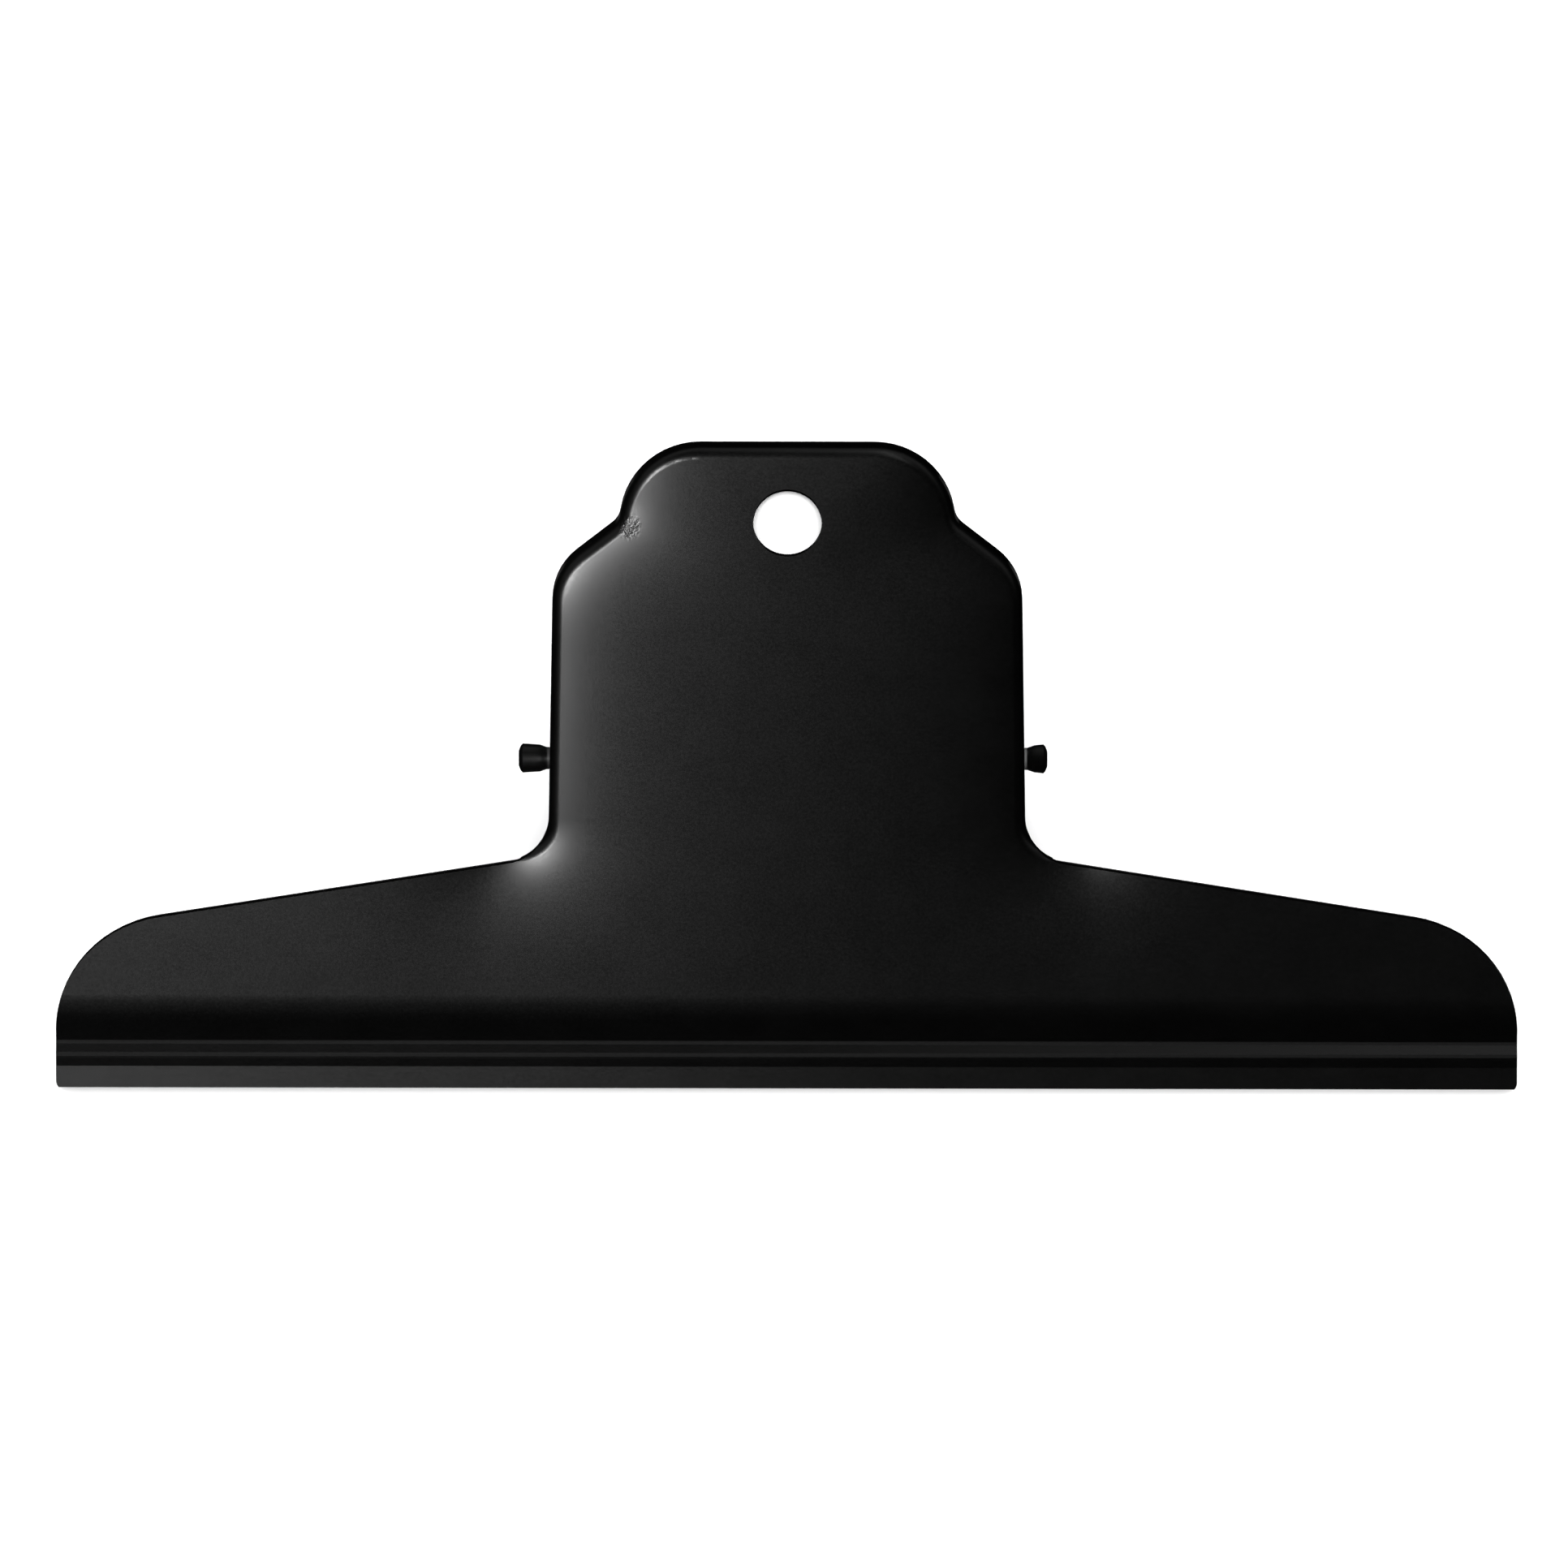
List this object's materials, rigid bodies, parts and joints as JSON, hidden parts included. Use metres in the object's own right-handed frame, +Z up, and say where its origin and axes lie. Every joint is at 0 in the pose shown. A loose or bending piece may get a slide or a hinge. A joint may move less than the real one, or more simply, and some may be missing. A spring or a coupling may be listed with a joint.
{
  "type": "bulldog clip",
  "caption": "Wide sprung paper clip of pressed black sheet steel: long lipped jaws, squeezable handles with a hanging hole, hinged on a pin through their ears.",
  "frame": {"origin": "under the middle of the clip's box, on the surface that the flat of the rear plate lies on", "axes": "+X along the jaw, +Y from the jaw to the handles along the rear plate, +Z up from the rear plate to the front plate"},
  "size_m": [0.145, 0.0662, 0.0354],
  "materials": {
    "black_paint": "satin black paint on sheet steel",
    "black_pin": "satin black paint on steel rod",
    "spring_wire": "blackened spring wire"
  },
  "bodies": {
    "rear": {"rear_plate": "black_paint", "hinge_pin": "black_pin", "torsion_spring": "spring_wire"},
    "front": {"front_plate": "black_paint"}
  },
  "joints": [
    {"name": "jaw_hinge", "type": "hinge", "parent": "rear", "child": "front", "pos_m": [0, -0.00123, 0.01], "axis": [-1, 0, 0], "range_deg": [0, 45], "stiffness_Nm_per_rad": 1.26, "springref_deg": -34.38, "deforming": ["torsion_spring"]}
  ]
}
